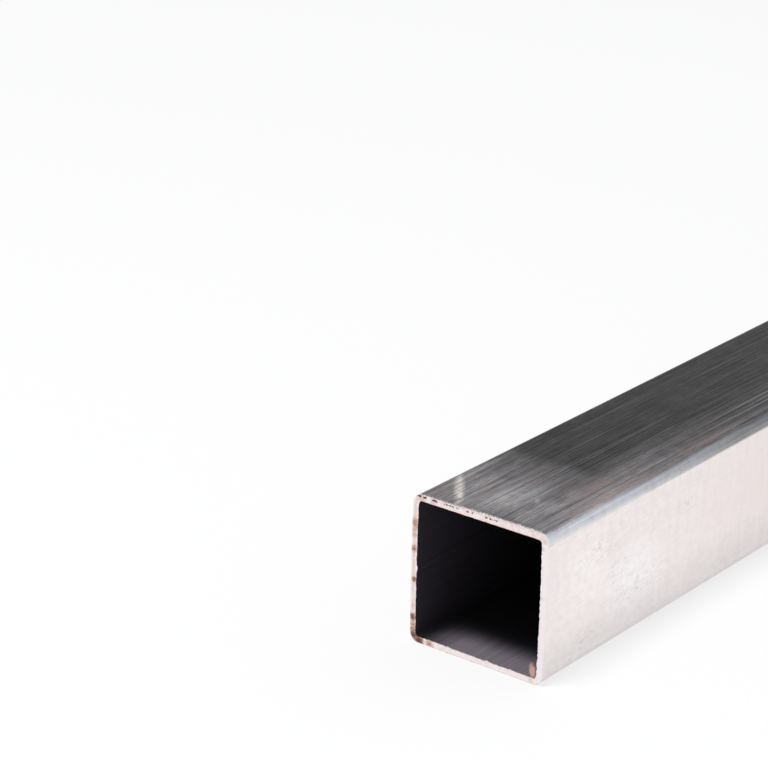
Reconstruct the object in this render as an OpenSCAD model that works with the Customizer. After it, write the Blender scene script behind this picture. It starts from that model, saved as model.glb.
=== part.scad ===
// Square hollow section in mild steel, rolled from strip and welded along one side.
// It lies along Y on the plane Z = 0, with the origin under the middle of its length.

/* [Section] */
// Width over the two upright sides
side_w = 60; // [40:1:120]
// Height from the underside to the top
side_h = 60; // [40:1:120]
// Thickness of the strip
wall = 2.5; // [1.5:0.5:6]
// Inside radius of the four bends
bend_r = 1.5; // [0.5:0.5:5]

/* [Weld seam] */
// Width of the bead along the inside of the left wall
bead_w = 3; // [2:0.5:6]
// Height that trimming leaves of the bead
bead_h = 0.4; // [0.2:0.1:1]
// Distance of the seam above the middle of the side, negative below it
seam_rise = 0; // [-8:1:8]

/* [Length] */
// Length between the two saw cuts
length = 1000; // [200:50:6000]

/* [Hidden] */

// The strip keeps its thickness round a bend, so both radii share one centre.
corner_r = bend_r + wall;
hollow_w = side_w - 2 * wall;
hollow_h = side_h - 2 * wall;
// Radius of the bead's crown, from its width and height
bead_r = (pow(bead_w / 2, 2) + pow(bead_h, 2)) / (2 * bead_h);
smooth = 96;

// Rectangle with true round corners, centred on the origin
module rounded_outline(w, h, r) {
    square([w - 2 * r, h], center = true);
    square([w, h - 2 * r], center = true);
    for (x = [-1, 1], y = [-1, 1])
        translate([x * (w / 2 - r), y * (h / 2 - r)])
            circle(r = r, $fn = smooth);
}

// Crown of the weld bead, its centre sunk behind the inside face of the left wall
module bead_crown() {
    translate([-hollow_w / 2 + bead_h - bead_r, seam_rise])
        circle(r = bead_r, $fn = smooth);
}

// The hollow is open everywhere but at the bead, which is one with the wall.
module section() {
    difference() {
        rounded_outline(side_w, side_h, corner_r);
        difference() {
            rounded_outline(hollow_w, hollow_h, bend_r);
            bead_crown();
        }
    }
}

module tube() {
    color("silver")
        translate([0, 0, side_h / 2])
            rotate([90, 0, 0])
                linear_extrude(height = length, center = true)
                    section();
}

tube();
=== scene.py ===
import math

import bpy
from mathutils import Matrix, Vector, noise


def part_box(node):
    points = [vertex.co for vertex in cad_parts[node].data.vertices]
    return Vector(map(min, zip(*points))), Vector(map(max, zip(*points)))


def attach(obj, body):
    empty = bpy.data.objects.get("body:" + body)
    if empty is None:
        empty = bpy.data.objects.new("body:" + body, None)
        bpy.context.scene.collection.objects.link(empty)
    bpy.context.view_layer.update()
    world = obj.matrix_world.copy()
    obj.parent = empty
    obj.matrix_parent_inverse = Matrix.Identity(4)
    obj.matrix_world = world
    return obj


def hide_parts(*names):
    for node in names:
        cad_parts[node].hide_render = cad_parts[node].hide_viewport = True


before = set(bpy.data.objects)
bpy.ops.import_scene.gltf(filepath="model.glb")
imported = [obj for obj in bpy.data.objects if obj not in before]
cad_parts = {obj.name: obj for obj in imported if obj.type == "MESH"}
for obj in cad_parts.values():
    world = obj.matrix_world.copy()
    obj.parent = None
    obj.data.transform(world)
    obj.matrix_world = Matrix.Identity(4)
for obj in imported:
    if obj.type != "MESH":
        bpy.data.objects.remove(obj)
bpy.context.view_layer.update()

tubeLow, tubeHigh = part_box("tube")
tubeWidth = tubeHigh.x - tubeLow.x
tubeHeight = tubeHigh.z - tubeLow.z
tubeLength = tubeHigh.y - tubeLow.y
middleHeight = tubeLow.z + tubeHeight / 2
nearEnd = tubeLow.y  # the sawn end that faces the camera
mm = 0.001
noiseSpread = {"From Min": 0.3, "From Max": 0.7}  # nearly all values of a noise lie in here


def hexToLinear(text):
    # sRGB hex to the linear colour that the shaders take
    parts = [int(text[i : i + 2], 16) / 255 for i in (1, 3, 5)]
    return [c / 12.92 if c <= 0.04045 else ((c + 0.055) / 1.055) ** 2.4 for c in parts] + [1.0]


def addNode(tree, kind, inputs=None, **settings):
    # one node with its settings; an input is a value, a socket, or a node, whose first live output
    # is then linked
    node = tree.nodes.new(kind)
    for name, value in settings.items():
        setattr(node, name, value)
    for name, value in (inputs or {}).items():
        if isinstance(value, bpy.types.Node):
            value = next(socket for socket in value.outputs if socket.enabled)
        if isinstance(value, bpy.types.NodeSocket):
            tree.links.new(value, node.inputs[name])
        else:
            node.inputs[name].default_value = value
    return node


def startMaterial(name):
    material = bpy.data.materials.new(name)
    material.use_nodes = True
    material.node_tree.nodes.clear()
    return material, material.node_tree


def drawPattern(tree, place, pattern):
    # noise whose cells have a real size in mm along X, Y and Z; its turn is in degrees
    turn = [math.radians(angle) for angle in pattern.get("turn", (0, 0, 0))]
    local = addNode(tree, "ShaderNodeMapping", {
        "Vector": place, "Location": pattern.get("shift", (0, 0, 0)), "Rotation": turn,
        "Scale": [1 / (size * mm) for size in pattern["cell"]]})
    return addNode(tree, "ShaderNodeTexNoise", {
        "Vector": local, "Scale": 1, "Detail": pattern["detail"],
        "Roughness": pattern.get("roughness", 0.5)})


def awayFrom(tree, place, middle, halfSize, turn):
    # 0 at the middle of an ellipsoid and 1 on its surface; middle and half sizes are in mm from the
    # near cut's bottom middle, and the turn is in degrees about Z
    spot = Vector(middle) * mm + Vector((0, nearEnd, tubeLow.z))
    local = addNode(tree, "ShaderNodeMapping", {
        "Vector": place, "Location": spot, "Rotation": (0, 0, math.radians(turn)),
        "Scale": Vector(halfSize) * mm}, vector_type="TEXTURE")
    return addNode(tree, "ShaderNodeVectorMath", {0: local}, operation="LENGTH").outputs["Value"]


def markInside(tree, place, middle, halfSize, turn, share):
    # 0 outside such an ellipsoid, rising to share at its middle
    away = awayFrom(tree, place, middle, halfSize, turn)
    return addNode(tree, "ShaderNodeMapRange", {
        "Value": away, "From Min": 1.0, "From Max": 0.0, "To Max": share},
        interpolation_type="SMOOTHSTEP")


# Camera: the photograph's own viewpoint, in tube widths from the middle of the near end's bottom edge
photoView = {
    "focal": 2795.5,  # pixels, in a frame 768 pixels wide
    "frameWidth": 768,
    "sensor": 36.0,
    "azimuth": 37.575,
    "elevation": 21.190,
    "roll": 1.262,
    "stand": (-0.5546, 1.7111, 17.1359),  # camera from that point, along its own right, up and back
    "clip": (0.05, 100),
}


def placeCamera():
    azimuth, elevation, roll = (
        math.radians(photoView[name]) for name in ("azimuth", "elevation", "roll"))
    level = math.cos(elevation)
    back = Vector((math.sin(azimuth) * level, -math.cos(azimuth) * level, math.sin(elevation)))
    right = Vector((math.cos(azimuth), math.sin(azimuth), 0))
    up = back.cross(right)
    rightTurned = right * math.cos(roll) + up * math.sin(roll)
    upTurned = up * math.cos(roll) - right * math.sin(roll)
    turn = Matrix((rightTurned, upTurned, back)).transposed()
    camera = bpy.data.objects.new("camera", bpy.data.cameras.new("camera"))
    camera.data.sensor_width = photoView["sensor"]
    camera.data.lens = photoView["sensor"] * photoView["focal"] / photoView["frameWidth"]
    camera.data.clip_start, camera.data.clip_end = photoView["clip"]
    spot = Vector((0, nearEnd, tubeLow.z)) + turn @ Vector(photoView["stand"]) * tubeWidth
    camera.matrix_world = Matrix.Translation(spot) @ turn.to_4x4()
    bpy.context.collection.objects.link(camera)
    bpy.context.scene.camera = camera


# Studio: a white floor, a grey room with a broad soft glow behind on the right, and one soft lamp
# high above the near end
studio = {
    "floorHalf": 20.0,
    "floorColour": "#F2F2F1",
    "floorLift": 0.72,  # share of plain white that the camera and reflections see in the floor
    "low": "#A2A1A3",
    "high": "#B4B4B8",
    "wallRise": {"From Min": 0.3, "From Max": 0.9},  # of the view's height, from low to high
    "glow": "#E2E9F2",
    "glowFrom": (0.727, 0.6545, 0.208),
    "glowSpread": {"From Min": 0.4, "From Max": 1.05},  # 1 is straight towards the glow
    "keyFrom": (-0.0976, -0.2756, 0.956),
    "keyDistance": 3.0,
    "keySize": 0.8,
    "keyPower": 62.0,
}


def makeFloor():
    half, level = studio["floorHalf"], tubeLow.z
    mesh = bpy.data.meshes.new("floor")
    corners = [(-half, -half, level), (half, -half, level), (half, half, level), (-half, half, level)]
    mesh.from_pydata(corners, [], [(0, 1, 2, 3)])
    floor = bpy.data.objects.new("floor", mesh)
    bpy.context.collection.objects.link(floor)
    # matt white paper: its diffuse share keeps the shadow
    material, tree = startMaterial("mattWhitePaper")
    ray = addNode(tree, "ShaderNodeLightPath").outputs
    seen = 0.0
    for kind in ("Is Camera Ray", "Is Glossy Ray", "Is Transmission Ray"):
        seen = addNode(tree, "ShaderNodeMath", {0: seen, 1: ray[kind]}, operation="ADD", use_clamp=True)
    lift = addNode(tree, "ShaderNodeMath", {0: seen, 1: studio["floorLift"]}, operation="MULTIPLY")
    paper = addNode(tree, "ShaderNodeBsdfDiffuse", {"Color": hexToLinear(studio["floorColour"])})
    white = addNode(tree, "ShaderNodeEmission", {"Color": (1, 1, 1, 1), "Strength": 1.0})
    mix = addNode(tree, "ShaderNodeMixShader", {0: lift, 1: paper, 2: white})
    addNode(tree, "ShaderNodeOutputMaterial", {"Surface": mix})
    mesh.materials.append(material)


def makeRoom():
    world = bpy.data.worlds.new("room")
    world.use_nodes = True
    bpy.context.scene.world = world
    tree = world.node_tree
    tree.nodes.clear()
    direction = addNode(tree, "ShaderNodeTexCoord").outputs["Generated"]
    height = addNode(tree, "ShaderNodeSeparateXYZ", {"Vector": direction}).outputs["Z"]
    rise = addNode(tree, "ShaderNodeMapRange", {
        "Value": height, **studio["wallRise"]}, interpolation_type="SMOOTHSTEP")
    towards = addNode(tree, "ShaderNodeVectorMath", {
        0: direction, 1: studio["glowFrom"]}, operation="DOT_PRODUCT").outputs["Value"]
    near = addNode(tree, "ShaderNodeMapRange", {
        "Value": towards, **studio["glowSpread"]}, interpolation_type="SMOOTHSTEP")
    colour = hexToLinear(studio["low"])
    for share, tone in ((rise, "high"), (near, "glow")):
        colour = addNode(tree, "ShaderNodeMix", {
            "Factor": share, "A": colour, "B": hexToLinear(studio[tone])}, data_type="RGBA")
    light = addNode(tree, "ShaderNodeBackground", {"Color": colour, "Strength": 1.0})
    addNode(tree, "ShaderNodeOutputWorld", {"Surface": light})


def makeKeyLamp():
    data = bpy.data.lights.new("keyLamp", "AREA")
    data.shape = "SQUARE"
    data.size = studio["keySize"]
    data.energy = studio["keyPower"]
    lamp = bpy.data.objects.new("keyLamp", data)
    away = Vector(studio["keyFrom"]).normalized()
    lamp.location = Vector((0, nearEnd, tubeHeight / 2)) + away * studio["keyDistance"]
    lamp.rotation_euler = (-away).to_track_quat("-Z", "Y").to_euler()
    lamp.visible_glossy = False  # or the top mirrors it as a white patch from above
    bpy.context.collection.objects.link(lamp)


placeCamera()
makeFloor()
makeRoom()
makeKeyLamp()
bpy.context.scene.view_settings.view_transform = "Standard"
print("studio ready")


# Cold-rolled mild steel, bare and lightly oiled: satin grey that mirrors softly, with fine lines
# along the length where the forming rolls and the handling dragged
shadeStart = nearEnd + 56 * mm
rolledLook = {
    "side": "#FDF4F3",
    "bend": "#FFFEFF",
    "top": "#FDFCFE",  # cooler than the sides
    "dark": "#A39E9F",  # in lines and clouds
    "brown": "#B9A199",  # dried oil
    "paintedShade": "#5B5C58",  # painted shade and dimmed reflection over the top, from about 56 mm behind the cut
    "lowerShade": "#F3F5F5",  # painted shade: the lower part of the sides darker, standing in for the shadowed floor that they mirror
    "scratch": "#FFFFFF",
    "rubbed": "#F6EDE2",
    "torn": "#F7F0EE",
    "nickShadeTone": "#A8A09E",
    "patterns": {
        # the real lines are finer than 0.7 mm, and drawn as coarse as the picture shows them
        "fineLines": {"cell": (0.7, 55.56, 0.7), "detail": 2, "roughness": 0.75},
        "wideLines": {"cell": (2.2, 111.1, 2.2), "shift": (7, 7, 7), "detail": 3, "roughness": 0.6},
        "strayLines": {"cell": (0.8, 90.9, 0.8), "shift": (3, 5, 1), "turn": (0, 0, 0.4), "detail": 1},
        "ragLines": {"cell": (1, 25, 1), "turn": (0, 0, -11), "detail": 2},
        # about a finger wide
        "clouds": {"cell": (9.524, 12.5, 9.524), "shift": (2, 9, 4), "detail": 4, "roughness": 0.6},
        "mottle": {"cell": (3.03, 3.846, 3.03), "detail": 4, "roughness": 0.65},
        "grain": {"cell": (0.7692, 5.882, 0.7692), "detail": 3, "roughness": 0.75},
        "strokes": {"cell": (33.33, 3.3333, 22.22), "detail": 2},  # upright ones, on the sides
        "specks": {"cell": (0.66667, 0.66667, 0.66667), "detail": 3, "roughness": 0.7},
        "nickShape": {"cell": (2, 3.125, 1.3158), "turn": (35, 0, 0), "detail": 3, "roughness": 0.6},
    },
    "wideShare": 0.16,  # of the wide lines among all lines
    # where the finish of the top, that of the upper bends and the painted shade low on the sides start
    # and are full
    "topEdge": {"From Min": tubeHigh.z - 1.2 * mm, "From Max": tubeHigh.z - 0.2 * mm},
    "bendEdge": {"From Min": tubeHigh.z - 5.2 * mm, "From Max": tubeHigh.z - 3.9 * mm},
    "lowShadeHeight": {"From Min": tubeLow.z + 25 * mm, "From Max": tubeLow.z + 8 * mm},
    # the painted shade on the top: how far its front wanders, the front, the fainter shade before it,
    # and how it thins out towards the right edge
    "shadeRagged": {**noiseSpread, "To Min": -3 * mm, "To Max": 3 * mm},
    "shadeFront": {"From Min": shadeStart - 5 * mm, "From Max": shadeStart + 5 * mm, "To Max": 0.35},
    "shadeHaze": {"From Min": shadeStart - 34 * mm, "From Max": shadeStart, "To Max": 0.65},
    "shadeRight": {"From Min": 23 * mm, "From Max": 4 * mm},
    "shadeClouds": 0.35,  # share of the clouds in its unevenness
    "shadeUneven": {"From Min": 0.55, "From Max": 0.8, "To Min": 1.0, "To Max": 0.86},
    "shadeWeaker": ((26.2, 108, 60), (4.5, 66, 4), 1, 0.5),  # where the painted shade is weaker
    "bendShadeReach": {"From Min": nearEnd + 22 * mm, "From Max": nearEnd + 155 * mm},
    # from the sides to the upper bends and the top: how much painted shade they take along the length,
    # how deep lines and clouds show, and the darkest that the pale mottle gets
    "bendShadeShare": {"To Min": 0.03, "To Max": 0.78},
    "lineDepth": {"To Min": 0.08, "To Max": 0.34},
    "cloudDepth": {"To Min": 0.08, "To Max": 0.2},
    "mottleLeast": {"To Min": 0.92, "To Max": 0.86},
    # from the unshaded top to the painted shade: how deep more lines show, and how bright scratches are
    "lineOpen": {"To Min": 0.54, "To Max": 0.14},
    "wornShare": {"To Min": 0.7, "To Max": 0.16},
    "topClouds": 0.13,  # how deep more clouds show on the top
    "strokeShare": 0.45,  # of the upright strokes in the pale mottle
    # the span of noise over which each mark comes in, and how strong it gets
    "darkLines": {"From Min": 0.62, "From Max": 0.38},
    "darkClouds": {"From Min": 0.6, "From Max": 0.36},
    "brownClouds": {"From Min": 0.45, "From Max": 0.68, "To Max": 0.55},
    "paleMottle": {"From Min": 0.5, "From Max": 0.85},
    "topGrain": {"From Min": 0.4, "From Max": 0.6, "To Min": 0.7, "To Max": 1.0},
    "broken": {"From Min": 0.82, "From Max": 1.12, "To Min": 0.35, "To Max": 1.2},
    "brightLines": {"From Min": 0.58, "From Max": 0.76, "To Max": 0.7},
    "ragMarks": {"From Min": 0.5, "From Max": 0.72},
    "tornSpecks": {"From Min": 0.66, "From Max": 0.74},
    "nickDepth": {"From Min": 0.52, "From Max": 0.61},
    "roughness": {"From Min": 0.7, "From Max": 1.3, "To Min": 0.26, "To Max": 0.42},
    "rubbedMetal": {"To Min": 1.0, "To Max": 0.35},
    # the torn first millimetres of the top: along the tube, and across it
    "tornReach": {"From Min": tubeHigh.y - 2.6 * mm, "From Max": tubeHigh.y - 0.2 * mm, "To Max": 0.34},
    "tornRight": {"From Min": -14 * mm, "From Max": 2 * mm, "To Min": -0.12, "To Max": 0.0},
    "nickShade": 0.27,  # how dark the painted shade on the floor of a nick gets
    # share of each height in the relief, and how deep it is
    "mottleRelief": 0.4,
    "nickRelief": -0.36,
    "tornRelief": 0.8,
    "reliefDepth": 0.06 * mm,
    # stains, and one painted shadow line behind the burr: middle and half sizes in mm from the near
    # cut's bottom middle, turn about Z, colour, share
    "stainsAndShadow": [
        ((13.5, 31, 60), (5, 10, 4), 25, "#7E7278", 0.65),
        ((12, 44, 60), (8, 14, 4), -10, "#8E8888", 0.5),
        ((19, 42, 60), (6.5, 32, 4), 10, "#C4A8A1", 0.45),
        ((25.5, 44, 60), (4, 30, 4), 2, "#F3DED9", 0.8),
        ((24, 112, 60), (6, 50, 4), 2, "#D4B8B0", 0.4),
        ((-26, 7, 60), (8, 15, 4), 0, "#A59196", 0.7),
        ((24, 6, 60), (9, 9, 4), 0, "#A69EA0", 0.2),
        # painted shadow: a thin dark strip behind the burr along the near cut's top edge
        ((9, 2.7, 60), (22, 2.1, 3), 0, "#7F7479", 0.55),
        ((22.3, 36, 60), (1.6, 40, 4), 0, "#F1EEF0", 0.5),
        ((0, 22, 60), (9, 24, 4), -12, "#FFFFFF", 0.45),
        ((28.4, 74, 59.3), (1.6, 44, 1.0), 0, "#8C898E", 0.5),
        ((29.8, 45, 56.7), (6, 190, 1.5), 0, "#B9BBBF", 0.2),
        ((29.6, 500, 56.6), (6, 560, 1.0), 0, "#C2C5CB", 0.4),
        ((30, 200, 34), (6, 150, 44), 0, "#EED9D5", 0.4),
        ((30, 58, 25), (5, 30, 19), 0, "#FFFFFF", 0.55),
        ((30, 26, 38), (5, 20, 20), 0, "#FFFDFB", 0.5),
        ((18, 51, 60), (4, 12, 4), 0, "#E4CFC9", 0.6),
        ((27, 66, 60), (4, 30, 4), 0, "#EBD6D1", 0.4),
        ((-5, 7, 60), (9, 12, 4), 0, "#F4EEF0", 0.32),
    ],
    # patches rubbed matt: middle, half sizes, turn about Z, share
    "rubs": [((-18.9, 13, 60), (2.9, 20, 5), 35, 1.15), ((-1, 17, 60), (9, 13, 4), 20, 0.16),
             ((11, 12, 60), (5, 8, 4), 50, 0.12), ((9, 23, 60), (1.6, 4, 4), 30, 0.3)],
    # long bright scratches on the top: across, where they start and end behind the cut, half width
    "scratches": [(1.2, 21, 112, 0.4), (14, 2, 58, 0.35), (17.5, 6, 44, 0.3), (7.3, 92, 130, 0.4),
                  (-12, 12, 31, 0.4), (-4, 30, 64, 0.3), (8.5, 8, 40, 0.3), (19.8, 16, 70, 0.3)],
    "scratchTurn": 0.3,
    "scratchShare": 0.9,
    "ragged": ((-13, 14, 60), (20, 34, 4), 0, 1.0),  # where a rag dragged across the lines
    # places with clusters of small nicks on the right side: middle, half sizes
    "nicks": [((30, 60, 19), (6, 28, 11)), ((30, 93, 41), (4, 11, 5)), ((30, 33, 43), (4, 16, 9)),
              ((30, 26, 9), (4, 18, 7)), ((30, 47, 31), (4, 13, 8)), ((29, 84, 58.3), (4, 14, 3))],
}


def paintedShadeOnTop(tree, place, axes, drawn):
    # painted shade and dimmed reflection over the top from about 56 mm behind the cut, lighter on the
    # bends further along, uneven and weaker in places; the first value is its share on the top alone
    look = rolledLook
    front = addNode(tree, "ShaderNodeMapRange", {"Value": drawn["wideLines"], **look["shadeRagged"]})
    shifted = addNode(tree, "ShaderNodeMath", {0: axes["Y"], 1: front}, operation="ADD")
    spans = (("shadeFront", shifted), ("shadeHaze", axes["Y"]), ("shadeRight", axes["X"]),
             ("bendShadeReach", axes["Y"]))
    behind, haze, inward, bendShade = (
        addNode(tree, "ShaderNodeMapRange", {
            "Value": along, **look[name]}, interpolation_type="SMOOTHSTEP")
        for name, along in spans)
    heavyShade = addNode(tree, "ShaderNodeMath", {0: behind, 1: haze}, operation="ADD")
    for share in (inward, drawn["top"]):
        heavyShade = addNode(tree, "ShaderNodeMath", {0: heavyShade, 1: share}, operation="MULTIPLY")
    bendShadeShare = addNode(tree, "ShaderNodeMapRange", {"Value": drawn["upper"], **look["bendShadeShare"]})
    light = addNode(tree, "ShaderNodeMath", {0: bendShade, 1: bendShadeShare}, operation="MULTIPLY")
    clear = addNode(tree, "ShaderNodeMath", {0: 1.0, 1: heavyShade}, operation="SUBTRACT")
    paintedShade = addNode(tree, "ShaderNodeMath", {0: clear, 1: light, 2: heavyShade}, operation="MULTIPLY_ADD")
    uneven = addNode(tree, "ShaderNodeMath", {
        0: drawn["clouds"], 1: look["shadeClouds"], 2: drawn["lines"]}, operation="MULTIPLY_ADD")
    uneven = addNode(tree, "ShaderNodeMapRange", {"Value": uneven, **look["shadeUneven"]})
    shadeWeaker = markInside(tree, place, *look["shadeWeaker"])
    kept = addNode(tree, "ShaderNodeMath", {0: 1.0, 1: shadeWeaker}, operation="SUBTRACT")
    for share in (uneven, kept):
        paintedShade = addNode(tree, "ShaderNodeMath", {0: paintedShade, 1: share}, operation="MULTIPLY")
    return heavyShade, paintedShade


def bareColour(tree, axes, drawn, heavyShade):
    # steel with its lines, clouds and pale strokes, and painted shade low on the sides, before any
    # stain or the painted shade on the top
    look, top, upper = rolledLook, drawn["top"], drawn["upper"]
    # lines and clouds darken the top most of all, the bends less and the sides hardly; the lines show
    # weaker under the painted shade
    lineDepth = addNode(tree, "ShaderNodeMapRange", {"Value": upper, **look["lineDepth"]})
    lineOpen = addNode(tree, "ShaderNodeMapRange", {"Value": heavyShade, **look["lineOpen"]})
    lineDepth = addNode(tree, "ShaderNodeMath", {
        0: top, 1: lineOpen, 2: lineDepth}, operation="MULTIPLY_ADD")
    cloudDepth = addNode(tree, "ShaderNodeMapRange", {"Value": upper, **look["cloudDepth"]})
    cloudDepth = addNode(tree, "ShaderNodeMath", {
        0: top, 1: look["topClouds"], 2: cloudDepth}, operation="MULTIPLY_ADD")
    darkLines = addNode(tree, "ShaderNodeMapRange", {"Value": drawn["lines"], **look["darkLines"]})
    darkLines = addNode(tree, "ShaderNodeMath", {0: darkLines, 1: lineDepth}, operation="MULTIPLY")
    darkClouds = addNode(tree, "ShaderNodeMapRange", {"Value": drawn["clouds"], **look["darkClouds"]})
    dark = addNode(tree, "ShaderNodeMath", {
        0: darkClouds, 1: cloudDepth, 2: darkLines}, operation="MULTIPLY_ADD")
    brown = addNode(tree, "ShaderNodeMapRange", {
        "Value": drawn["clouds"], **look["brownClouds"]}, interpolation_type="SMOOTHSTEP")
    brown = addNode(tree, "ShaderNodeMath", {0: brown, 1: lineDepth}, operation="MULTIPLY")
    colour = hexToLinear(look["side"])
    for share, tone in ((upper, "bend"), (top, "top"), (dark, "dark"), (brown, "brown")):
        colour = addNode(tree, "ShaderNodeMix", {
            "Factor": share, "A": colour, "B": hexToLinear(look[tone])}, data_type="RGBA")
    pale = addNode(tree, "ShaderNodeMath", {
        0: drawn["strokes"], 1: look["strokeShare"], 2: drawn["mottle"]}, operation="MULTIPLY_ADD")
    least = addNode(tree, "ShaderNodeMapRange", {"Value": upper, **look["mottleLeast"]})
    pale = addNode(tree, "ShaderNodeMapRange", {"Value": pale, **look["paleMottle"], "To Min": least})
    grained = addNode(tree, "ShaderNodeMapRange", {"Value": drawn["grain"], **look["topGrain"]})
    pale = addNode(tree, "ShaderNodeMix", {"Factor": top, "A": pale, "B": grained})
    colour = addNode(tree, "ShaderNodeMix", {
        "Factor": 1.0, "A": colour, "B": pale}, data_type="RGBA", blend_type="MULTIPLY")
    # painted shade: the sides darken towards the floor
    low = addNode(tree, "ShaderNodeMapRange", {
        "Value": axes["Z"], **look["lowShadeHeight"]}, interpolation_type="SMOOTHSTEP")
    return addNode(tree, "ShaderNodeMix", {
        "Factor": low, "A": colour, "B": hexToLinear(look["lowerShade"])}, data_type="RGBA",
        blend_type="MULTIPLY")


def scratchMarks(tree, place, drawn):
    # bright ones among the lines, those of the rag, and single long ones, on the top only
    look = rolledLook
    bright = addNode(tree, "ShaderNodeMapRange", {"Value": drawn["strayLines"], **look["brightLines"]})
    ragged = addNode(tree, "ShaderNodeMapRange", {"Value": drawn["ragLines"], **look["ragMarks"]})
    inside = markInside(tree, place, *look["ragged"])
    ragged = addNode(tree, "ShaderNodeMath", {0: ragged, 1: inside}, operation="MULTIPLY")
    bright = addNode(tree, "ShaderNodeMath", {0: ragged, 1: bright}, operation="MAXIMUM")
    for across, begin, end, half in look["scratches"]:
        middle, halfSize = (across, (begin + end) / 2, 60), (half, (end - begin) / 2, 3)
        inside = markInside(tree, place, middle, halfSize, look["scratchTurn"], look["scratchShare"])
        bright = addNode(tree, "ShaderNodeMath", {0: inside, 1: bright}, operation="MAXIMUM")
    return addNode(tree, "ShaderNodeMath", {0: bright, 1: drawn["top"]}, operation="MULTIPLY")


def tornMarks(tree, axes, drawn):
    # the blade tore the first millimetre of the top into bright specks, mostly towards the right
    look = rolledLook
    fromMiddle = addNode(tree, "ShaderNodeMath", {0: axes["Y"]}, operation="ABSOLUTE")
    atCut = addNode(tree, "ShaderNodeMapRange", {"Value": fromMiddle, **look["tornReach"]})
    rightwards = addNode(tree, "ShaderNodeMapRange", {"Value": axes["X"], **look["tornRight"]})
    torn = drawn["specks"]
    for share in (atCut, rightwards):
        torn = addNode(tree, "ShaderNodeMath", {0: torn, 1: share}, operation="ADD")
    torn = addNode(tree, "ShaderNodeMapRange", {"Value": torn, **look["tornSpecks"]})
    within = addNode(tree, "ShaderNodeMath", {0: atCut, 1: 0.02}, operation="GREATER_THAN")
    for share in (within, drawn["upper"]):
        torn = addNode(tree, "ShaderNodeMath", {0: torn, 1: share}, operation="MULTIPLY")
    return torn


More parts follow.
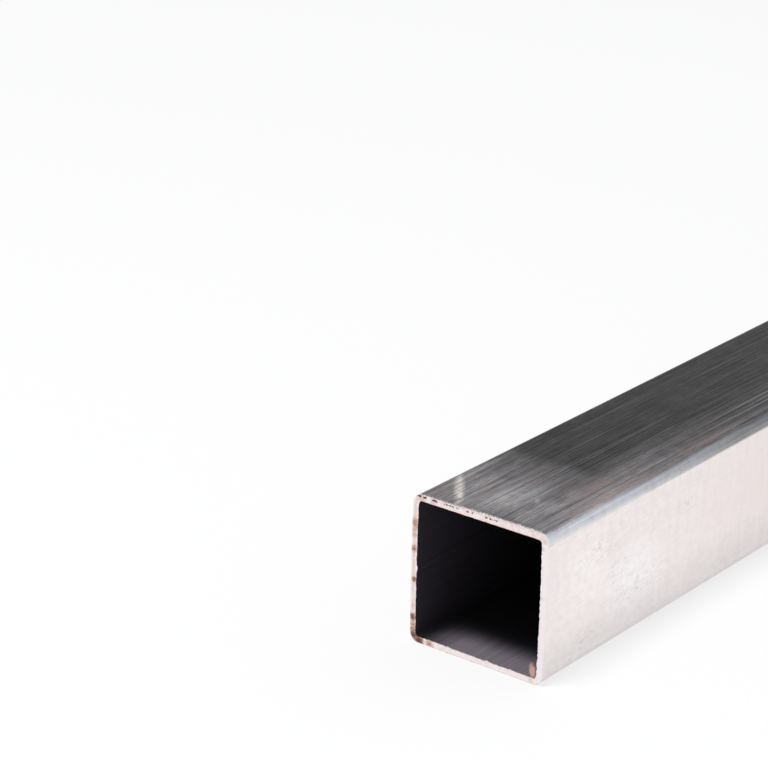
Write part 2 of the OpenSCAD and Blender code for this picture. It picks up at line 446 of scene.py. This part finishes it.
def makeRolledSteel():
    look = rolledLook
    material, tree = startMaterial("coldRolledSteel")
    place = addNode(tree, "ShaderNodeTexCoord").outputs["Object"]
    axes = addNode(tree, "ShaderNodeSeparateXYZ", {"Vector": place}).outputs
    drawn = {name: drawPattern(tree, place, pattern) for name, pattern in look["patterns"].items()}
    drawn["lines"] = addNode(tree, "ShaderNodeMix", {
        "Factor": look["wideShare"], "A": drawn["fineLines"], "B": drawn["wideLines"]})
    # top is 1 on the top face and 0 below it, upper is 1 from the upper bends up
    for name, edge in (("top", "topEdge"), ("upper", "bendEdge")):
        drawn[name] = addNode(tree, "ShaderNodeMapRange", {
            "Value": axes["Z"], **look[edge]}, interpolation_type="SMOOTHSTEP")
    lines, clouds, mottle = (drawn[name] for name in ("lines", "clouds", "mottle"))
    heavyShade, paintedShade = paintedShadeOnTop(tree, place, axes, drawn)
    colour = bareColour(tree, axes, drawn, heavyShade)

    # single stains and the painted shadow line behind the burr, broken up by the lines, and the painted
    # shade over them
    broken = addNode(tree, "ShaderNodeMath", {0: lines, 1: mottle}, operation="ADD")
    broken = addNode(tree, "ShaderNodeMapRange", {"Value": broken, **look["broken"]})
    for middle, halfSize, turn, tone, share in look["stainsAndShadow"]:
        inside = markInside(tree, place, middle, halfSize, turn, share)
        inside = addNode(tree, "ShaderNodeMath", {0: inside, 1: broken}, operation="MULTIPLY")
        colour = addNode(tree, "ShaderNodeMix", {
            "Factor": inside, "A": colour, "B": hexToLinear(tone)}, data_type="RGBA")
    # painted shade and dimmed reflection multiplied over the top and the upper bends
    colour = addNode(tree, "ShaderNodeMix", {
        "Factor": paintedShade, "A": colour, "B": hexToLinear(look["paintedShade"])}, data_type="RGBA",
        blend_type="MULTIPLY")

    # bright scratches lie over the painted shade and the stains alike
    bright = scratchMarks(tree, place, drawn)
    wornShare = addNode(tree, "ShaderNodeMapRange", {"Value": heavyShade, **look["wornShare"]})
    worn = addNode(tree, "ShaderNodeMath", {0: bright, 1: wornShare}, operation="MULTIPLY")

    # rubbed patches and torn steel scatter the light; nicks are small dents whose floor is darkened
    # with painted shade
    rubbed = 0.0
    for middle, halfSize, turn, share in look["rubs"]:
        inside = markInside(tree, place, middle, halfSize, turn, share)
        rubbed = addNode(tree, "ShaderNodeMath", {0: inside, 1: rubbed}, operation="MAXIMUM")
    rubbed = addNode(tree, "ShaderNodeMath", {
        0: rubbed, 1: broken}, operation="MULTIPLY", use_clamp=True)
    torn = tornMarks(tree, axes, drawn)
    nicked = 0.0
    for middle, halfSize in look["nicks"]:
        inside = markInside(tree, place, middle, halfSize, 0, 1.0)
        nicked = addNode(tree, "ShaderNodeMath", {0: inside, 1: nicked}, operation="MAXIMUM")
    nickDepth = addNode(tree, "ShaderNodeMapRange", {"Value": drawn["nickShape"], **look["nickDepth"]})
    nickDepth = addNode(tree, "ShaderNodeMath", {0: nickDepth, 1: nicked}, operation="MULTIPLY")
    nickShade = addNode(tree, "ShaderNodeMath", {
        0: nickDepth, 1: look["nickShade"]}, operation="MULTIPLY")
    for share, tone in (
            (worn, "scratch"), (rubbed, "rubbed"), (torn, "torn"), (nickShade, "nickShadeTone")):
        colour = addNode(tree, "ShaderNodeMix", {
            "Factor": share, "A": colour, "B": hexToLinear(look[tone])}, data_type="RGBA")

    rough = addNode(tree, "ShaderNodeMath", {0: lines, 1: clouds}, operation="ADD")
    rough = addNode(tree, "ShaderNodeMapRange", {"Value": rough, **look["roughness"]})
    scattered = addNode(tree, "ShaderNodeMath", {0: rubbed, 1: torn}, operation="MAXIMUM")
    metal = addNode(tree, "ShaderNodeMapRange", {"Value": scattered, **look["rubbedMetal"]})
    relief = addNode(tree, "ShaderNodeMix", {"Factor": look["mottleRelief"], "A": lines, "B": mottle})
    for height, share in ((nickDepth, look["nickRelief"]), (torn, look["tornRelief"])):
        relief = addNode(tree, "ShaderNodeMath", {
            0: height, 1: share, 2: relief}, operation="MULTIPLY_ADD")
    depth = look["reliefDepth"]
    bump = addNode(tree, "ShaderNodeBump", {"Height": relief, "Strength": 0.3, "Distance": depth})
    cut = addNode(tree, "ShaderNodeBump", {
        "Height": bright, "Strength": 0.4, "Distance": depth, "Normal": bump})
    steel = addNode(tree, "ShaderNodeBsdfPrincipled", {
        "Base Color": colour, "Metallic": metal, "Roughness": rough, "Normal": cut})
    addNode(tree, "ShaderNodeOutputMaterial", {"Surface": steel})
    return material


# The inside keeps the strip's dull, oxidised skin, nearly black in the depth; its floor is painted
# purple grey as a pool of light where light falls in, and painted darker as shade deeper in and along
# the left wall
boreLook = {
    "wall": "#3F3A43",
    "floor": "#8E8690",  # painted light: the floor where the lamp's light falls in
    "deepFloorShade": "#29262C",  # painted shade: the floor deeper in
    "floorEdge": {"From Min": tubeLow.z + 4.2 * mm, "From Max": tubeLow.z + 2.9 * mm},
    "lampReachEnds": {"From Min": tubeHigh.y - 22 * mm, "From Max": tubeHigh.y - 5 * mm},
    "swept": {"From Min": -24.5 * mm, "From Max": -10 * mm},  # painted shade from the left wall over the floor's left part
    "streaks": {"cell": (1.1111, 45.45, 1.1111), "detail": 3},
    "grain": {"cell": (1.42857, 2, 1.42857), "detail": 4, "roughness": 0.7},
    "streakShade": {**noiseSpread, "To Min": 0.72, "To Max": 1.0},
    "rust": "#DDB09F",
    "rustSpot": ((22.5, 4.7, 2.5), (1.4, 7.3, 3), 38),  # middle, half sizes, turn about Z
    "rustEdge": {"From Min": 1.55, "From Max": 0.9},
    "metallic": {"To Min": 0.2, "To Max": 0.0},  # from dull skin to rust
    "roughness": 0.65,
    "grainDepth": 0.1 * mm,
}


def makeBoreSteel():
    look = boreLook
    material, tree = startMaterial("dullBoreSteel")
    place = addNode(tree, "ShaderNodeTexCoord").outputs["Object"]
    axes = addNode(tree, "ShaderNodeSeparateXYZ", {"Vector": place}).outputs
    streaks, grain = (drawPattern(tree, place, look[name]) for name in ("streaks", "grain"))
    low = addNode(tree, "ShaderNodeMapRange", {"Value": axes["Z"], **look["floorEdge"]})
    fromMiddle = addNode(tree, "ShaderNodeMath", {0: axes["Y"]}, operation="ABSOLUTE")
    lampReach = addNode(tree, "ShaderNodeMapRange", {
        "Value": fromMiddle, **look["lampReachEnds"]}, interpolation_type="SMOOTHSTEP")
    swept = addNode(tree, "ShaderNodeMapRange", {"Value": axes["X"], **look["swept"]})
    # the floor is kept pale only where the lamp's light reaches: painted light, with painted shade
    # beyond
    lampLitFloor = low
    for share in (lampReach, swept):
        lampLitFloor = addNode(tree, "ShaderNodeMath", {0: lampLitFloor, 1: share}, operation="MULTIPLY")
    colour = hexToLinear(look["wall"])
    for share, tone in ((low, "deepFloorShade"), (lampLitFloor, "floor")):
        colour = addNode(tree, "ShaderNodeMix", {
            "Factor": share, "A": colour, "B": hexToLinear(look[tone])}, data_type="RGBA")
    shade = addNode(tree, "ShaderNodeMapRange", {"Value": streaks, **look["streakShade"]})
    colour = addNode(tree, "ShaderNodeMix", {
        "Factor": 1.0, "A": colour, "B": shade}, data_type="RGBA", blend_type="MULTIPLY")
    away = awayFrom(tree, place, *look["rustSpot"])
    ragged = addNode(tree, "ShaderNodeMath", {0: away, 1: grain}, operation="ADD")
    rust = addNode(tree, "ShaderNodeMapRange", {
        "Value": ragged, **look["rustEdge"]}, interpolation_type="SMOOTHSTEP")
    colour = addNode(tree, "ShaderNodeMix", {
        "Factor": rust, "A": colour, "B": hexToLinear(look["rust"])}, data_type="RGBA")
    metal = addNode(tree, "ShaderNodeMapRange", {"Value": rust, **look["metallic"]})
    bump = addNode(tree, "ShaderNodeBump", {
        "Height": grain, "Strength": 0.4, "Distance": look["grainDepth"]})
    steel = addNode(tree, "ShaderNodeBsdfPrincipled", {
        "Base Color": colour, "Metallic": metal, "Roughness": look["roughness"], "Normal": bump})
    addNode(tree, "ShaderNodeOutputMaterial", {"Surface": steel})
    return material


# Sawn ends: bright, open-grained and matt, blushed pink and orange with the first rust, with painted
# shade in the pits under the burr lip
sawnLook = {
    "fresh": "#FFF6F8",
    "blush": "#EDC9B8",
    "tan": "#C08660",
    "rust": "#5E3C3A",
    # painted shade in the pits and under the burr lip
    "pitShade": "#442A2D",
    "grain": {"cell": (0.714286, 0.714286, 0.714286), "detail": 3, "roughness": 0.6},
    "patches": {"cell": (2.38095, 2.38095, 2.38095), "detail": 3},
    "holes": {"cell": (0.5, 0.666667, 0.625), "detail": 2},
    "unevenBlush": {"From Min": 0.4, "From Max": 0.65, "To Min": -0.15, "To Max": 0.22},
    "raggedRust": {**noiseSpread, "To Min": 0.5, "To Max": 1.4},
    # rust goes from a tan film to dark brown where it is strong
    "thinRust": {"From Max": 0.7, "To Max": 0.9},
    "thickRust": {"From Min": 0.45, "From Max": 1.0},
    "pitShare": 0.42,
    "pitEdge": {"From Min": 0.76, "From Max": 0.84, "To Max": 0.9},
    "metallic": {"To Min": 1.0, "To Max": 0.2},  # from bare steel to rust
    "roughness": 0.48,
    "grainDepth": 0.08 * mm,
}


def makeSawnSteel():
    look = sawnLook
    material, tree = startMaterial("sawnSteel")
    place = addNode(tree, "ShaderNodeTexCoord").outputs["Object"]
    rust, pitShade, blush = (addNode(tree, "ShaderNodeAttribute", attribute_name=name).outputs["Fac"]
                        for name in ("rust", "pitShade", "blush"))
    grain, patches, holes = (
        drawPattern(tree, place, look[name]) for name in ("grain", "patches", "holes"))
    uneven = addNode(tree, "ShaderNodeMapRange", {"Value": patches, **look["unevenBlush"]})
    blushed = addNode(tree, "ShaderNodeMath", {0: blush, 1: uneven}, operation="ADD", use_clamp=True)
    ragged = addNode(tree, "ShaderNodeMapRange", {"Value": grain, **look["raggedRust"]})
    rusted = addNode(tree, "ShaderNodeMath", {0: rust, 1: ragged}, operation="MULTIPLY", use_clamp=True)
    thinRust = addNode(tree, "ShaderNodeMapRange", {"Value": rusted, **look["thinRust"]})
    thickRust = addNode(tree, "ShaderNodeMapRange", {"Value": rusted, **look["thickRust"]})
    # painted shade: dark in the pits and the crevice under the burr lip
    holes = addNode(tree, "ShaderNodeMath", {
        0: pitShade, 1: look["pitShare"], 2: holes}, operation="MULTIPLY_ADD")
    holes = addNode(tree, "ShaderNodeMapRange", {"Value": holes, **look["pitEdge"]})
    colour = hexToLinear(look["fresh"])
    for share, tone in ((blushed, "blush"), (thinRust, "tan"), (thickRust, "rust"), (holes, "pitShade")):
        colour = addNode(tree, "ShaderNodeMix", {
            "Factor": share, "A": colour, "B": hexToLinear(look[tone])}, data_type="RGBA")
    metal = addNode(tree, "ShaderNodeMapRange", {"Value": rusted, **look["metallic"]})
    bump = addNode(tree, "ShaderNodeBump", {
        "Height": grain, "Strength": 0.5, "Distance": look["grainDepth"]})
    steel = addNode(tree, "ShaderNodeBsdfPrincipled", {
        "Base Color": colour, "Metallic": metal, "Roughness": look["roughness"], "Normal": bump})
    addNode(tree, "ShaderNodeOutputMaterial", {"Surface": steel})
    return material


# Torn crumbs of fresh steel: their facets face every way, so they look white and matt as frost
burrLook = {
    "bright": "#FFF8F6",
    "shade": "#D9CACB",
    "crumbs": {"cell": (1.11111, 1.11111, 1.11111), "detail": 2},
    "shaded": {"From Min": 0.5, "From Max": 0.62},
    "metallic": 0.25,
    "roughness": 0.6,
}


def makeBurrSteel():
    look = burrLook
    material, tree = startMaterial("tornSteel")
    place = addNode(tree, "ShaderNodeTexCoord").outputs["Object"]
    uneven = drawPattern(tree, place, look["crumbs"])
    share = addNode(tree, "ShaderNodeMapRange", {"Value": uneven, **look["shaded"]})
    colour = addNode(tree, "ShaderNodeMix", {
        "Factor": share, "A": hexToLinear(look["bright"]), "B": hexToLinear(look["shade"])},
        data_type="RGBA")
    steel = addNode(tree, "ShaderNodeBsdfPrincipled", {
        "Base Color": colour, "Metallic": look["metallic"], "Roughness": look["roughness"]})
    addNode(tree, "ShaderNodeOutputMaterial", {"Surface": steel})
    return material


rolledSteel = makeRolledSteel()
boreSteel = makeBoreSteel()
sawnSteel = makeSawnSteel()
burrSteel = makeBurrSteel()
print("materials ready")


# The tube: a strip of wall carried round the section's middle line, then given its bow, weld bead,
# sawn faces and burrs point by point
tube = {
    "wall": 2.5 * mm,
    "bendRadius": 1.5 * mm,
    "bendSteps": 24,
    "pointSpacing": 0.4 * mm,  # round the section
    "ringSpacing": 45 * mm,  # along the middle of the length
    "endRings": [0.12, 0.3, 0.6, 1.0, 1.6, 2.6, 4.2, 7, 12, 20, 32, 50],  # mm from each cut
    "cutShares": [0.07, 0.18, 0.31, 0.44, 0.57, 0.70, 0.82, 0.93],  # across the wall, on each cut
    "sharpAngle": 40,
    "bow": 0.3 * mm,  # both upright sides swell this far at mid-height
    "bowMargin": 3 * mm,  # above and below, where they don't
    "wave": 0.025 * mm,  # slow waves that the rolls leave in every flat, and their size
    "waveSize": (12 * mm, 60 * mm, 12 * mm),
    "beadWidth": 3 * mm,
    "beadHeight": 0.4 * mm,
    "beadWave": 7 * mm,
    "sawRidge": 0.06 * mm,
    "burr": 0.3 * mm,
    "ragDepth": 1.1 * mm,  # how far behind a cut its edges are ragged
    "innerRag": {"top": 0.08 * mm, "right": 0.26 * mm, "other": 0.16 * mm},
    # rust on the cuts: across and up in mm, radius, strength
    "rustSpots": [
        (-28.7, 47.9, 2.8, 0.62), (-28.8, 45.3, 1.9, 0.42), (-28.7, 43.3, 1.6, 0.4),
        (-28.7, 37.7, 2.0, 0.68), (-28.4, 25.3, 1.6, 0.85), (-28.7, 13.9, 1.6, 0.22),
        (-28.8, 9.8, 2.1, 0.92), (-28.6, 6.6, 2.4, 0.55), (-28.5, 4.6, 2.2, 0.7),
        (-28.2, 2.6, 2.6, 1.0), (-25.8, 1.0, 2.8, 1.1), (-21, 1.0, 2.2, 0.6), (-21, 59, 1.6, 0.25),
        (-26.4, 58.8, 2.2, 0.35), (28.9, 57.4, 1.5, 0.3), (28.0, 54.3, 1.0, 0.25),
        (28.4, 35, 1.2, 0.12), (23.5, 58.2, 1.2, 0.15), (25, 1.4, 1.6, 0.2),
    ],
    # where the blade broke out pits along the top edge, dark with painted shade: across in mm, half
    # width, how thick they stand
    "pits": [(-27.2, 1.3, 1.3), (-24.8, 1.2, 1.3), (-20.4, 1.9, 1.3), (-17.6, 1.1, 0.7),
             (-15.2, 1.6, 0.95), (-12.7, 1.7, 1.0), (-9.9, 1.5, 0.9), (-5.5, 1.0, 1.0),
             (-3.3, 1.0, 0.8), (2.7, 1.1, 1.15), (4.8, 1.2, 1.1), (7.2, 1.7, 0.9), (13.8, 0.9, 0.6),
             (16.2, 0.9, 0.6)],
    "pitBelow": (0.75 * mm, 0.65 * mm),  # their middle below the top, and half their height
    "pitDepth": 0.3 * mm,
    # burr inside, on the floor: across and height in mm
    "nibs": [(-21, 0.35), (-18, 0.25), (-14.5, 0.3), (-12.4, 0.2), (5.6, 0.4), (16, 0.2)],
    "nibHalf": 1.1,
}
onCut = 0.001 * mm  # a point nearer to a cut than this lies on it
onSkin = 0.9  # a point further across the wall than this lies on its face, 1 being the face
onFlat = 0.99  # an outward direction closer to an axis than this belongs to a flat


def wallStrip():
    # closed line round one slice of wall: X is across the wall, Y along the tube
    half, side = tubeLength / 2, tube["wall"] / 2
    ends = [depth * mm for depth in tube["endRings"]]
    middle = tubeLength - 2 * ends[-1]
    count = round(middle / tube["ringSpacing"])
    depths = [0.0] + ends + [ends[-1] + middle * i / count for i in range(1, count)]
    along = {round(-half + depth, 7) for depth in depths} | {round(half - depth, 7) for depth in depths}
    outer = [(side, y) for y in sorted(along)]
    farCut = [(side - tube["wall"] * share, half) for share in tube["cutShares"]]
    inner = [(-side, y) for y in sorted(along, reverse=True)]
    nearCut = [(-side + tube["wall"] * share, -half) for share in tube["cutShares"]]
    points = [(x, y, 0) for x, y in outer + farCut + inner + nearCut]
    mesh = bpy.data.meshes.new("wallStrip")
    mesh.from_pydata(points, [(i, (i + 1) % len(points)) for i in range(len(points))], [])
    return mesh


def startGeometryTree(name, sizes):
    # mesh in and mesh out, with a named number for each size
    tree = bpy.data.node_groups.new(name, "GeometryNodeTree")
    tree.interface.new_socket("Geometry", in_out="INPUT", socket_type="NodeSocketGeometry")
    for size in sizes:
        tree.interface.new_socket(size, in_out="INPUT", socket_type="NodeSocketFloat")
    tree.interface.new_socket("Geometry", in_out="OUTPUT", socket_type="NodeSocketGeometry")
    return tree


def rolledSectionTree():
    tree = startGeometryTree(
        "rolledSection", ("Width", "Height", "Wall", "Bend Radius", "Point Spacing"))
    given = addNode(tree, "NodeGroupInput").outputs
    pathWidth, pathHeight = (
        addNode(tree, "ShaderNodeMath", {0: given[name], 1: given["Wall"]}, operation="SUBTRACT")
        for name in ("Width", "Height"))
    radius = addNode(tree, "ShaderNodeMath", {
        0: given["Wall"], 1: 0.5, 2: given["Bend Radius"]}, operation="MULTIPLY_ADD")
    square = addNode(tree, "GeometryNodeCurvePrimitiveQuadrilateral", {
        "Width": pathWidth, "Height": pathHeight})
    bends = addNode(tree, "GeometryNodeFilletCurve", {
        "Curve": square, "Radius": radius, "Count": tube["bendSteps"]}, mode="POLY")
    path = addNode(tree, "GeometryNodeResampleCurve", {
        "Curve": bends, "Length": given["Point Spacing"]}, mode="LENGTH")
    level = addNode(tree, "GeometryNodeSetCurveNormal", {"Curve": path}, mode="Z_UP")
    strip = addNode(tree, "GeometryNodeMeshToCurve", {"Mesh": given["Geometry"]})
    swept = addNode(tree, "GeometryNodeCurveToMesh", {"Curve": level, "Profile Curve": strip})
    # the path lies flat, so the section is stood up and the length laid along Y
    stood = addNode(tree, "GeometryNodeTransform", {"Geometry": swept, "Rotation": (math.pi / 2, 0, 0)})
    whole = addNode(tree, "GeometryNodeRealizeInstances", {"Geometry": stood})
    dressed = addNode(tree, "GeometryNodeSetMaterial", {"Geometry": whole, "Material": rolledSteel})
    addNode(tree, "NodeGroupOutput", {"Geometry": dressed})
    return tree


def runNodes(name, mesh, tree, values):
    # runs a geometry tree on a mesh and gives back the plain mesh that it makes
    holder = bpy.data.objects.new(name, mesh)
    bpy.context.collection.objects.link(holder)
    modifier = holder.modifiers.new(name, "NODES")
    modifier.node_group = tree
    for item in tree.interface.items_tree:
        if item.in_out == "INPUT" and item.name in values:
            modifier[item.identifier] = values[item.name]
    depsgraph = bpy.context.evaluated_depsgraph_get()
    made = bpy.data.meshes.new_from_object(holder.evaluated_get(depsgraph))
    made.name = name
    holder.modifiers.remove(modifier)
    bpy.data.objects.remove(holder)
    return made


def wallPlace(x, z):
    # where a point stands in the wall: outward direction, and -1 inside to 1 outside
    up = z - middleHeight
    half = tube["wall"] / 2
    radius = tube["bendRadius"] + half
    pastX = abs(x) - (tubeWidth / 2 - half - radius)
    pastZ = abs(up) - (tubeHeight / 2 - half - radius)
    if pastX > 0 and pastZ > 0:
        reach = math.hypot(pastX, pastZ)
        outX, outZ = math.copysign(pastX / reach, x), math.copysign(pastZ / reach, up)
    elif pastX > pastZ:
        reach, outX, outZ = pastX, math.copysign(1, x), 0.0
    else:
        reach, outX, outZ = pastZ, 0.0, math.copysign(1, up)
    return outX, outZ, (reach - radius) / half


def rolledShift(x, y, z, outX, across):
    # outward: the bow of the sides, the waves, and the trimmed weld bead inside the left wall
    outward = 0.0
    if abs(outX) > onFlat:
        share = (z - middleHeight) / (tubeHeight / 2 - tube["bowMargin"])
        outward += tube["bow"] * max(0, 1 - share**2)
    if across > onSkin:
        sizeX, sizeY, sizeZ = tube["waveSize"]
        outward += tube["wave"] * noise.noise(Vector((x / sizeX, y / sizeY, z / sizeZ)))
    fromSeam = (z - middleHeight) / (tube["beadWidth"] / 2)
    if across < -onSkin and outX < -onFlat and abs(fromSeam) < 1:
        uneven = 1 + 0.2 * noise.noise(Vector((0, y / tube["beadWave"], 0)))
        outward -= tube["beadHeight"] * (1 - fromSeam**2) * uneven
    return outward


def raggedShift(x, z, outX, outZ, across, depth):
    # outward: the lip that the blade raised on the outer top edge, the ragged inner edge, and nibs
    # inside along the bottom; the noise reads mm
    outward = 0.0
    fade = max(0.0, 1 - depth / tube["ragDepth"])
    if fade == 0:
        return outward
    if across > onSkin and outZ > 0.3:
        coarse = noise.noise(Vector((x / mm * 1.3, 3, 0)))
        small = noise.noise(Vector((x / mm * 3.1, 7, 0)))
        outward += tube["burr"] * fade**2 * max(0, coarse + 0.6 * small + 0.15)
    if across < -onSkin:
        coarse = noise.noise(Vector((x / mm * 0.4, 11, z / mm * 0.4)))
        small = noise.noise(Vector((x / mm * 1.1, 13, z / mm * 1.1)))
        edge = "top" if outZ > 0.5 else ("right" if outX > 0.5 else "other")
        outward -= tube["innerRag"][edge] * fade * (1.2 * coarse + 0.8 * small)
    if across < -onSkin and outZ < -onSkin:
        for spotX, height in tube["nibs"]:
            away = abs(x / mm - spotX) / tube["nibHalf"]
            if away < 1:
                outward -= height * mm * fade * (1 - away)
    return outward


def sawnMarks(x, y, z, outX, outZ, across):
    # a point of a cut: how far it stands along Y, and its rust, painted pit shade and blush; the noise
    # reads mm
    seed = Vector((x / mm, 0.31 * y / mm, z / mm))
    side = -1 if y < 0 else 1  # out of the material
    ridge = noise.noise(Vector((x / mm * 0.9 + z / mm * 0.12, z / mm * 0.12, side * 5)))
    shift = side * tube["sawRidge"] * (0.6 * ridge + 0.4 * noise.noise(seed * 2.3))
    rust = pitShade = 0.0
    for spotX, spotZ, radius, strength in tube["rustSpots"]:
        away = math.hypot(x / mm - spotX, (z - tubeLow.z) / mm - spotZ) / radius
        away *= 1 + 0.35 * noise.noise(seed * 1.7)
        if away < 1:
            rust = max(rust, strength * (1 - away**2))
    below, halfHeight = tube["pitBelow"]
    for spotX, half, thick in tube["pits"]:
        away = abs(x / mm - spotX) / half
        under = abs(z - tubeHigh.z + below) / halfHeight
        if away < 1 and under < 1:
            here = thick * (1 - away**2) * (1 - under**2)
            pitShade = max(pitShade, here)
            shift -= side * tube["pitDepth"] * here * max(0, noise.noise(seed * 1.9))
    # the left wall blushes along its middle, the right one nearer to its inner edge
    if outX < -0.7:
        blush = 0.65 - 0.75 * abs(across)
    elif outX > 0.7:
        blush = 0.7 * max(0, 1 - abs(across + 0.55) / 0.35) - 0.4
    else:
        blush = 0.2 if outZ > 0 else 0.04
    # the edges of the top and bottom walls rust first
    if abs(outX) < 0.7 and abs(across) > 0.8:
        blush = 0.45 * (1 + noise.noise(seed * 0.8))
        rust = max(rust, 0.9 * noise.noise(seed * 0.45 + Vector((9, 9, 9))) - 0.1)
    return shift, rust, pitShade, blush


def shapeTube(mesh):
    zones = []
    for point in mesh.vertices:
        depth = min(point.co.y - tubeLow.y, tubeHigh.y - point.co.y)
        zones.append((*wallPlace(point.co.x, point.co.z), depth))
    mesh.materials.clear()
    for material in (rolledSteel, boreSteel, sawnSteel):
        mesh.materials.append(material)
    for face in mesh.polygons:
        near = [zones[i] for i in face.vertices]
        if all(depth < onCut for _, _, _, depth in near):
            face.material_index = 2
        elif all(across < -onSkin for _, _, across, _ in near):
            face.material_index = 1
    # what the sawn steel's material reads: one number a point
    paint = {name: [0.0] * len(zones) for name in ("rust", "pitShade", "blush")}
    for i, (outX, outZ, across, depth) in enumerate(zones):
        x, y, z = mesh.vertices[i].co
        outward = rolledShift(x, y, z, outX, across) + raggedShift(x, z, outX, outZ, across, depth)
        backward = 0.0
        if depth < onCut:
            backward, *marks = sawnMarks(x, y, z, outX, outZ, across)
            for name, mark in zip(paint, marks):
                paint[name][i] = mark
        mesh.vertices[i].co = (x + outX * outward, y + backward, z + outZ * outward)
    for name, values in paint.items():
        mesh.attributes.new(name, "FLOAT", "POINT").data.foreach_set("value", values)


def makeTube():
    mesh = runNodes("squareTube", wallStrip(), rolledSectionTree(), {
        "Width": tubeWidth, "Height": tubeHeight, "Wall": tube["wall"],
        "Bend Radius": tube["bendRadius"], "Point Spacing": tube["pointSpacing"]})
    mesh.transform(Matrix.Translation((0, (tubeLow.y + tubeHigh.y) / 2, middleHeight)))
    shapeTube(mesh)
    mesh.shade_smooth()
    mesh.set_sharp_from_angle(angle=math.radians(tube["sharpAngle"]))
    piece = bpy.data.objects.new("squareTube", mesh)
    bpy.context.collection.objects.link(piece)
    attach(piece, "root")
    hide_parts("tube")
    print("tube ready:", len(mesh.polygons), "faces")


makeTube()


# Bright crumbs and whiskers that the blade left along the top edge of each cut
sawBurr = {
    "spacing": 0.13 * mm,
    "small": 0.1 * mm,
    "large": 0.42 * mm,
    "spread": 1.7 * mm,  # how far they reach back over the top face
    "keep": 0.6,
    "from": -9 * mm,
    "to": 27 * mm,
    # a cone on five sides, before it is stretched at random
    "crumb": {"Vertices": 5, "Radius Top": 0.25, "Radius Bottom": 1.0, "Depth": 1.6},
    "mostTurn": 3.1,
    "seeds": {"reach": 11, "keep": 3, "turn": 5, "size": 7},
}


def burrTree():
    seeds = sawBurr["seeds"]
    tree = startGeometryTree("burrAlongEdge", ("Spacing", "Small", "Large", "Spread", "Keep"))
    given = addNode(tree, "NodeGroupInput").outputs
    edge = addNode(tree, "GeometryNodeMeshToCurve", {"Mesh": given["Geometry"]})
    spaced = addNode(tree, "GeometryNodeResampleCurve", {
        "Curve": edge, "Length": given["Spacing"]}, mode="LENGTH")
    places = addNode(tree, "GeometryNodeCurveToPoints", {"Curve": spaced}, mode="EVALUATED")
    # most crumbs stay near the edge, so the random share is cubed
    chance = addNode(tree, "FunctionNodeRandomValue", {"Min": 0.0, "Max": 1.0, "Seed": seeds["reach"]})
    cubed = addNode(tree, "ShaderNodeMath", {0: chance, 1: 3.0}, operation="POWER")
    reach = addNode(tree, "ShaderNodeMath", {0: cubed, 1: given["Spread"]}, operation="MULTIPLY")
    inwards = addNode(tree, "GeometryNodeInputNamedAttribute", {"Name": "inwards"}, data_type="FLOAT")
    shift = addNode(tree, "ShaderNodeMath", {0: reach, 1: inwards}, operation="MULTIPLY")
    offset = addNode(tree, "ShaderNodeCombineXYZ", {"Y": shift})
    moved = addNode(tree, "GeometryNodeSetPosition", {"Geometry": places, "Offset": offset})
    kept = addNode(tree, "FunctionNodeRandomValue", {
        "Probability": given["Keep"], "Seed": seeds["keep"]}, data_type="BOOLEAN")
    most = sawBurr["mostTurn"]
    turn = addNode(tree, "FunctionNodeRandomValue", {
        "Min": (-most, -most, -most), "Max": (most, most, most), "Seed": seeds["turn"]},
        data_type="FLOAT_VECTOR")
    small, large = given["Small"], given["Large"]
    least = addNode(tree, "ShaderNodeCombineXYZ", {"X": small, "Y": small, "Z": small})
    greatest = addNode(tree, "ShaderNodeCombineXYZ", {"X": small, "Y": large, "Z": large})
    size = addNode(tree, "FunctionNodeRandomValue", {
        "Min": least, "Max": greatest, "Seed": seeds["size"]}, data_type="FLOAT_VECTOR")
    crumb = addNode(tree, "GeometryNodeMeshCone", sawBurr["crumb"], fill_type="TRIANGLE_FAN")
    crumbs = addNode(tree, "GeometryNodeInstanceOnPoints", {
        "Points": moved, "Selection": kept, "Instance": crumb, "Rotation": turn, "Scale": size})
    whole = addNode(tree, "GeometryNodeRealizeInstances", {"Geometry": crumbs})
    dressed = addNode(tree, "GeometryNodeSetMaterial", {"Geometry": whole, "Material": burrSteel})
    addNode(tree, "NodeGroupOutput", {"Geometry": dressed})
    return tree


def makeSawBurr():
    # one line along the top edge of each cut, with the way into the tube as its attribute
    ends = [(tubeLow.y, 1.0), (tubeHigh.y, -1.0)]
    points = [(x, y, tubeHigh.z) for y, _ in ends for x in (sawBurr["from"], sawBurr["to"])]
    line = bpy.data.meshes.new("burrLine")
    line.from_pydata(points, [(0, 1), (2, 3)], [])
    inwards = [way for _, way in ends for _ in (0, 1)]
    line.attributes.new("inwards", "FLOAT", "POINT").data.foreach_set("value", inwards)
    mesh = runNodes("sawBurr", line, burrTree(), {
        "Spacing": sawBurr["spacing"], "Small": sawBurr["small"], "Large": sawBurr["large"],
        "Spread": sawBurr["spread"], "Keep": sawBurr["keep"]})
    piece = bpy.data.objects.new("sawBurr", mesh)
    bpy.context.collection.objects.link(piece)
    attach(piece, "root")
    print("burr ready:", len(mesh.polygons), "faces")


makeSawBurr()

print("finished")
